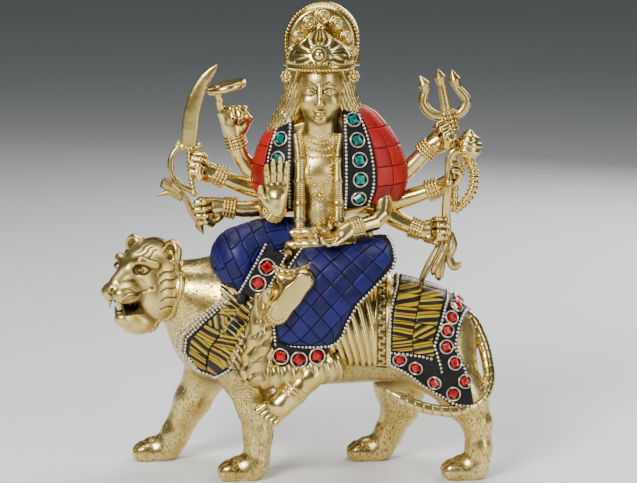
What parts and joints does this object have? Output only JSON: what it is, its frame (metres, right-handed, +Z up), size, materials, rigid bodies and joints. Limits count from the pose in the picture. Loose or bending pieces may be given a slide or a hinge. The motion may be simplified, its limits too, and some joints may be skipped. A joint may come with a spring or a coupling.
{
  "type": "goddess on tiger statuette",
  "caption": "Cast brass statuette of an eight-armed goddess riding a tiger, with stone inlay in cape, skirt and saddle.",
  "frame": {"origin": "middle of the footprint, on the surface that the paws stand on", "axes": "+Z up, +X from the tiger's head to its tail, the goddess faces -Y"},
  "size_m": [0.2107, 0.074, 0.2526],
  "materials": {
    "brass": "polished cast brass with brown patina in the hollows",
    "white_metal": "bright white-metal wire and shot",
    "black_lac": "black lac, rubbed flat",
    "red_stone": "satin coral-red chips",
    "blue_stone": "satin ultramarine chips",
    "amber_stone": "polished chips, striped amber, rust, olive and black",
    "turquoise_glass": "faceted turquoise stone",
    "red_glass": "faceted red glass",
    "steel": "plain zinc-plated steel"
  },
  "bodies": {
    "root": {"tiger_body": "brass", "tiger_head": "brass", "foreleg_far": "brass", "foreleg_near": "brass", "hindleg_far": "brass", "hindleg_near": "brass", "tail": "brass", "saddle": "brass", "seat_stud": "steel", "seat_washer": "steel", "seat_nut": "steel", "rump_bed": "black_lac", "rump_chips": "amber_stone", "rump_beads": "white_metal", "rump_bezels": "white_metal", "rump_gems": "red_glass", "shoulder_bed": "black_lac", "shoulder_chips": "amber_stone", "shoulder_beads": "white_metal", "goddess_body": "brass", "goddess_head": "brass", "goddess_hair": "brass", "crown": "brass", "crown_halo": "brass", "cape_bed": "black_lac", "cape_chips": "red_stone", "cape_beads": "white_metal", "cape_bezels": "white_metal", "cape_gems": "turquoise_glass", "skirt_casting": "brass", "skirt_bed": "black_lac", "skirt_chips": "blue_stone", "skirt_beads": "white_metal", "skirt_bezels": "white_metal", "skirt_gems": "red_glass", "garment_pleats": "brass", "folded_foot": "brass", "hanging_foot": "brass", "waist_sash": "brass", "necklace": "brass", "garland": "brass", "discus_arm": "brass", "sword_arm": "brass", "arrow_arm": "brass", "blessing_arm": "brass", "trident_arm": "brass", "conch_arm": "brass", "bow_arm": "brass", "lap_arm": "brass", "discus": "brass", "sword": "brass", "arrow": "brass", "trident": "brass", "conch": "brass", "bow": "brass", "lotus": "brass"}
  },
  "joints": []
}
